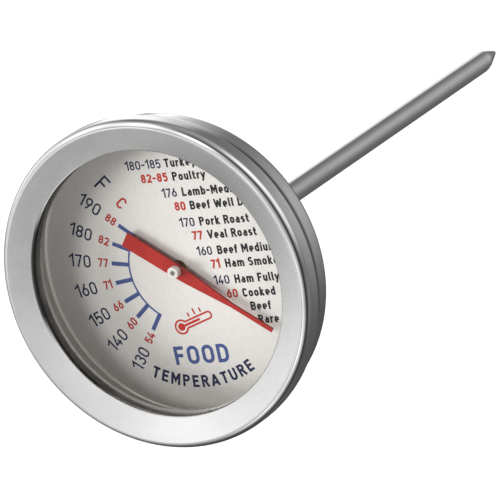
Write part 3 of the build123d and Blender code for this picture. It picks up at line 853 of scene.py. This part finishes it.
def stroke_faces(path, closed, width):
    """Convex faces that cover a stroked path: one per segment, one per outer corner."""
    pts = []
    for p in map(Vector, path):
        if not pts or (p - pts[-1]).length > 1e-6:
            pts.append(p)
    if closed and (pts[0] - pts[-1]).length < 1e-6:
        pts.pop()
    half, n, faces = width / 2, len(pts), []
    for i in range(n if closed else n - 1):
        a, b = pts[i], pts[(i + 1) % n]
        run = (b - a).normalized()
        offset = Vector((-run.y, run.x)) * half
        faces.append([a - offset, b - offset, b + offset, a + offset])
    for i in range(n) if closed else range(1, n - 1):
        p = pts[i]
        before = (p - pts[i - 1]).normalized()
        after = (pts[(i + 1) % n] - p).normalized()
        turn = before.x * after.y - before.y * after.x
        if abs(turn) < 1e-5:
            continue
        outer = -1 if turn > 0 else 1
        start = Vector((-before.y, before.x)) * half * outer
        end = Vector((-after.y, after.x)) * half * outer
        middle = start + end
        cosine = middle.length / (2 * half)
        face = [p, p + start]
        if cosine > 0.38:           # sharper corners are cut off instead of mitred
            face.append(p + middle.normalized() * (half / cosine))
        face.append(p + end)
        area = sum(a.x * b.y - b.x * a.y for a, b in pairs(face))
        faces.append(face if area > 0 else face[::-1])
    return faces


class Print:
    """One ink: gathers flat faces on the dial, merges them and gives them a thin body."""
    REAR, FRONT = DIAL_FACE - 0.001, DIAL_FACE - 0.02

    def __init__(self, name, material):
        self.name, self.material, self.groups = name, material, []

    def add(self, faces):
        self.groups.append(faces)

    def build(self):
        bm = bmesh.new()
        for faces in self.groups:
            self.build_group(bm, faces)
        finish_mesh(self.name, bm, self.material, ROOT, sharp=20)

    def build_group(self, bm, faces):
        corners, indices = [], []
        for face in faces:
            indices.append(list(range(len(corners), len(corners) + len(face))))
            corners += [Vector((p.x, p.y)) for p in face]
        merged = delaunay_2d_cdt(corners, [], indices, 0, 1e-5, True)
        points, triangles, sources = merged[0], merged[2], merged[5]
        covered = [triangle for triangle, source in zip(triangles, sources) if source]
        front, rear = {}, {}
        for triangle in covered:
            for i in triangle:
                if i not in front:
                    x, z = points[i].x * MM, points[i].y * MM
                    front[i] = bm.verts.new((x, self.FRONT * MM, z))
                    rear[i] = bm.verts.new((x, self.REAR * MM, z))
        edges = {}                  # directed edges, in order
        for triangle in covered:
            # guards against a triangle that the merge gives twice
            try:
                bm.faces.new([front[i] for i in triangle])
                bm.faces.new([rear[i] for i in reversed(triangle)])
            except ValueError:
                continue
            edges.update(dict.fromkeys(pairs(triangle)))
        for a, b in edges:
            if (b, a) not in edges:
                bm.faces.new((front[b], front[a], rear[a], rear[b]))


def text_width(text, pen, gap):
    x = 0
    for char in text:
        x += glyph_width(char, pen) + gap
    return x - gap


def put(target, text, x, y, size, pen, gap, angle=0.0, align="left", squeeze=1.0):
    """Text of cap height size with its baseline at (x, y); pen and gap are in cap heights.

    On the dial x is towards +X and y towards +Z, and the angle is anticlockwise in degrees.
    """
    width = text_width(text, pen, gap) * squeeze
    start = {"left": 0, "centre": -width / 2, "right": -width}[align]
    ca, sa = math.cos(math.radians(angle)), math.sin(math.radians(angle))
    for char in text:
        faces = []
        for path, closed in glyph(char, pen):
            for face in stroke_faces([(px * squeeze, py) for px, py in path], closed, pen):
                faces.append([Vector((x + ((p.x + start) * ca - p.y * sa) * size,
                                      y + ((p.x + start) * sa + p.y * ca) * size))
                              for p in face])
        if faces:
            target.add(faces)
        start += (glyph_width(char, pen) + gap) * squeeze


def put_arc(target, text, radius, size, pen, gap, middle):
    """Text along the bottom of the dial, reading left to right, feet outward at the radius.

    The middle is in degrees anticlockwise from the bottom.
    """
    mean_r = radius - size / 2
    angle = -(text_width(text, pen, gap) * size) / 2 / mean_r
    for char in text:
        step = glyph_width(char, pen) * size / mean_r
        q = angle + step / 2 + math.radians(middle)
        put(target, char, radius * math.sin(q), -radius * math.cos(q), size, pen, gap,
            angle=math.degrees(q), align="centre")
        angle += step + gap * size / mean_r


def put_inward(target, text, radius, clock, inward, size, pen, gap=0.12):
    """Text centred at a radius and clock angle, reading along the inward direction."""
    upward = Vector((-inward.y, inward.x))
    start = polar(radius, clock) - upward * (size / 2)
    put(target, text, start.x, start.y, size, pen, gap,
        angle=math.degrees(math.atan2(inward.y, inward.x)), align="centre")


def polar(r, clock):
    """Place on the dial at a radius and an angle in degrees clockwise from the top."""
    q = math.radians(clock)
    return Vector((r * math.sin(q), r * math.cos(q)))


# ------------------------------------------------------------------ dial printing
navy = Print("dial_print_navy", INK_NAVY)
blue = Print("dial_print_blue", INK_BLUE)
red = Print("dial_print_red", INK_RED)
black = Print("dial_print_black", INK_BLACK)

# degrees F, degrees C, clock angle of the mark
SCALE = [("130", "54", 216.2), ("140", "60", 231.8), ("150", "66", 246.7), ("160", "71", 262.5),
         ("170", "77", 278.2), ("180", "82", 294.2), ("190", "88", 310.8)]
TICK_INNER_R, TICK_OUTER_R, TICK_HALF = 9.0, 12.35, 0.35
SCALE_ARC_R, SCALE_ARC_START, SCALE_ARC_END, SCALE_ARC_STEPS = 9.15, 214.3, 312.6, 72


def print_scale():
    ticks = []
    for fahrenheit, celsius, clock in SCALE:
        a, b = polar(TICK_INNER_R, clock), polar(TICK_OUTER_R, clock)
        out = (b - a).normalized()
        side = Vector((-out.y, out.x)) * TICK_HALF
        ticks.append([a - side, b - side, b + side, a + side])
        put_inward(navy, fahrenheit, 18.25, clock, -out, size=2.15, pen=0.138, gap=0.14)
        put_inward(red, celsius, 13.95, clock, -out, size=1.45, pen=0.185, gap=0.13)
    sweep = SCALE_ARC_END - SCALE_ARC_START
    path = [polar(SCALE_ARC_R, SCALE_ARC_START + sweep * k / SCALE_ARC_STEPS)
            for k in range(SCALE_ARC_STEPS + 1)]
    blue.add(ticks + stroke_faces(path, False, 0.3))
    put_inward(navy, "F", 18.5, 325.0, -polar(1, 325.0), size=2.95, pen=0.125)
    put_inward(red, "C", 14.1, 326.0, -polar(1, 326.0), size=2.15, pen=0.155)


# temperature, its ink, x of its right end, words, x of their left end, baseline y
DONENESS = [
    ("180-185", navy, 0.85, "Turkey", 1.55, 16.98), ("82-85", red, 1.6, "Poultry", 2.5, 14.67),
    ("176", navy, 2.65, "Lamb-Medium", 3.62, 12.00), ("80", red, 3.70, "Beef Well Done", 4.55, 9.67),
    ("170", navy, 4.68, "Pork Roast", 5.6, 6.90), ("77", red, 5.6, "Veal Roast", 6.6, 4.61),
    ("160", navy, 6.72, "Beef Medium", 7.7, 1.93), ("71", red, 7.65, "Ham Smoked", 8.64, -0.35),
    ("140", navy, 8.72, "Ham Fully", 9.7, -3.09), ("60", red, 9.7, "Cooked", 10.6, -5.47),
    ("", navy, 0, "Beef", 11.55, -7.80), ("", navy, 0, "Rare", 12.45, -10.08),
]
LIST_SIZE, LIST_LIMIT_R = 1.47, 24.0
WORD_PEN, WORD_GAP = 0.212, 0.15


def print_doneness():
    for number, number_ink, number_x, words, words_x, y in DONENESS:
        if number:
            put(number_ink, number, number_x, y, LIST_SIZE,
                pen=0.16 if number_ink is navy else 0.205, gap=0.14, align="right")
        # words stop short of the dial's edge
        limit = math.sqrt(LIST_LIMIT_R ** 2 - max(abs(y), abs(y + LIST_SIZE)) ** 2)
        while text_width(words, WORD_PEN, WORD_GAP) * LIST_SIZE + words_x > limit:
            words = words[:-1]
        put(black, words.rstrip("- "), words_x, y, LIST_SIZE, pen=WORD_PEN, gap=WORD_GAP)


def print_pictogram():
    """Small slanted probe thermometer: outlined bulb and tube, filled core, three ticks."""
    cx, cy, tilt = 0.6, -9.0, math.radians(18)
    bulb_x, bulb_r, tube_end = -2.6, 1.15, 3.0
    tube_r = bulb_r / 2             # the tube leaves the bulb 30 degrees off its axis
    core_end, core_half = 1.2, 0.2

    def place(u, v):
        return Vector((cx + u * math.cos(tilt) - v * math.sin(tilt),
                       cy + u * math.sin(tilt) + v * math.cos(tilt)))

    outline = [*arc(bulb_x, 0, bulb_r, 30, 330, 24), (tube_end, -tube_r),
               *arc(tube_end, 0, tube_r, -90, 90, 12)]
    core = [(bulb_x, -core_half), (core_end, -core_half), (core_end, core_half),
            (bulb_x, core_half)]
    red.add(stroke_faces([place(*p) for p in outline], True, 0.3))
    red.add([[place(*p) for p in arc(bulb_x, 0, 0.66, 0, 360, 24)[:-1]],
             [place(*p) for p in core]])
    for u, top in ((-0.4, 1.75), (0.8, 2.1), (2.0, 1.75)):
        red.add(stroke_faces([place(u, 1.0), place(u, top)], False, 0.28))


print_scale()
print_doneness()
put(blue, "FOOD", 0.62, -16.2, size=3.15, pen=0.19, gap=0.17, align="centre", squeeze=1.06)
put_arc(navy, "TEMPERATURE", radius=20.2, size=2.05, pen=0.20, gap=0.25, middle=0.6)
print_pictogram()
for layer in (navy, blue, red, black):
    layer.build()

# ------------------------------------------------------------------ hidden CAD pieces
# They keep their shape and get their finish.
HIDDEN = {
    "dial_support_ring": STEEL, "stem_collar": STEM, "shaft_bush": BRASS,
    "thrust_washer": STEEL, "guide_bush_mid": BRASS, "guide_bush_lower": BRASS,
    "coil_anchor": BRASS, "bimetal_coil": BIMETAL, "coil_coupling": BRASS,
    "shaft_collar": BRASS,
}
for name, material in HIDDEN.items():
    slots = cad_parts[name].data.materials
    slots.clear()
    slots.append(material)

# ------------------------------------------------------------------ camera
# The camera's own axes
RIGHT = Vector((0.87068882, 0.44593871, -0.20745996))
UP = Vector((0.06628427, 0.31156799, 0.94790916))
BACK = Vector((0.48734728, -0.83908525, 0.24172005))
HEAD = Vector((0, -10.8, 0)) * MM                           # centre of the head's front
HEAD_SEEN = Vector((-15.33, -5.62, -716.64)) * MM           # the same along right, up, back


def add_camera():
    eye = -(HEAD_SEEN.x * RIGHT + HEAD_SEEN.y * UP + HEAD_SEEN.z * BACK) + HEAD
    camera = bpy.data.cameras.new("camera")
    camera.sensor_width, camera.lens = 36.0, 324.0
    camera.shift_x, camera.shift_y = -0.001, 0.001
    camera.clip_start, camera.clip_end = 0.01, 20.0
    ob = bpy.data.objects.new("camera", camera)
    bpy.context.scene.collection.objects.link(ob)
    ob.matrix_world = Matrix((*zip(RIGHT, UP, BACK, eye), (0, 0, 0, 1)))
    bpy.context.scene.camera = ob


# ------------------------------------------------------------------ studio
# Soft light panels as lobes of the world: direction along right, up, back; sharpness; strength
LOBES = [
    ((-0.85, 0.10, 0.51), 15.4, 1.05), ((0.01, -0.24, -0.97), 1.5, 0.16),
    ((0.98, -0.19, -0.06), 19.5, 0.17), ((-0.12, 0.60, -0.79), 37.1, 1.80),
    ((0.87, 0.47, 0.16), 21.1, 1.07), ((0.01, -1.00, 0.01), 21.1, 1.40),
    ((-0.68, 0.24, -0.70), 20.5, 1.49), ((-0.15, 0.16, 0.98), 5.3, 1.18),
    ((-0.56, -0.68, 0.47), 40.4, 1.02), ((0.32, -0.82, 0.47), 16.0, 1.37),
    ((0.55, 0.82, 0.17), 25.0, 1.34), ((0.69, 0.40, -0.60), 15.0, 0.52),
    ((-0.131, 0.333, -0.934), 73.3, 2.23), ((0.140, 0.687, -0.713), 411.6, 0.59),
    ((-0.55, -0.83, -0.09), 36.8, 0.39), ((-0.97, -0.23, -0.02), 8.7, 1.00),
    ((-0.52, 0.83, 0.19), 28.5, 1.71), ((0.43, -0.35, 0.83), 17.2, 0.86),
    ((-0.45, -0.57, 0.68), 35.0, 0.53), ((-0.27, -0.21, -0.94), 38.9, 0.79),
    ((-0.74, 0.62, -0.26), 25.7, 1.68), ((-0.17, 0.82, 0.55), 45.5, 1.56),
    ((0.08, 0.98, -0.19), 15.6, 0.34), ((0.063, 0.357, -0.932), 255.8, 1.87),
]
AMBIENT = 0.03
FILL_CUT = 0.70             # share of the panels kept off matt surfaces, which the keys light
# name, energy, angular size in degrees, direction towards the light
KEYS = [("key_left", 5.6, 26, (-1.8, -1.0, -0.15)), ("key_front", 1.9, 24, (-0.5, -1.0, 0.3))]


def add_world():
    world = bpy.data.worlds.new("studio")
    bpy.context.scene.world = world
    w = Nodes(world, "ShaderNodeOutputWorld")
    view = w.node("ShaderNodeTexCoord").outputs["Generated"]

    def multiply_add(a, b, c):
        return w.node("ShaderNodeMath", {0: a, 1: b, 2: c}, operation="MULTIPLY_ADD")

    total = AMBIENT
    for (right, up, back), sharpness, strength in LOBES:
        towards = (right * RIGHT + up * UP + back * BACK).normalized()
        dot = w.node("ShaderNodeVectorMath", {0: view, 1: tuple(towards)},
                     operation="DOT_PRODUCT").outputs["Value"]
        exponent = multiply_add(dot, sharpness, -sharpness)
        lobe = w.node("ShaderNodeMath", {0: exponent}, operation="EXPONENT")
        total = multiply_add(lobe, strength, total)
    path = w.node("ShaderNodeLightPath").outputs
    total = w.mul(total, multiply_add(path["Is Diffuse Ray"], -FILL_CUT, 1.0))
    # the camera sees plain white
    strength = w.node("ShaderNodeMix", {0: path["Is Camera Ray"], 2: total, 3: 1.0},
                      data_type="FLOAT")
    w.finish(w.node("ShaderNodeBackground", {"Color": (1, 1, 1, 1), "Strength": strength}))


def add_keys():
    for name, energy, angle, to_light in KEYS:
        sun = bpy.data.lights.new(name, "SUN")
        sun.energy, sun.angle = energy, math.radians(angle)
        sun.color = (0.99, 1.0, 1.01)
        ob = bpy.data.objects.new(name, sun)
        bpy.context.scene.collection.objects.link(ob)
        ob.rotation_euler = Vector(to_light).to_track_quat("Z", "Y").to_euler()
        ob.visible_glossy = False


def add_floor():
    reach, level, cells = 3.0, -0.075, 24       # metres, metres, count along a side
    places = [-reach + 2 * reach * i / cells for i in range(cells + 1)]
    bm = bmesh.new()
    grid = [[bm.verts.new((x, y, level)) for y in places] for x in places]
    for i in range(cells):
        for j in range(cells):
            bm.faces.new((grid[i][j], grid[i + 1][j], grid[i + 1][j + 1], grid[i][j + 1]))
    mesh = bpy.data.meshes.new("floor")
    bm.to_mesh(mesh)
    bm.free()
    floor = bpy.data.objects.new("floor", mesh)
    bpy.context.scene.collection.objects.link(floor)
    mesh.materials.append(floor_white())
    floor.visible_glossy = False
    floor.visible_shadow = False


add_camera()
add_world()
add_keys()
add_floor()
bpy.context.scene.view_settings.view_transform = "Standard"
bpy.context.scene.view_settings.look = "None"
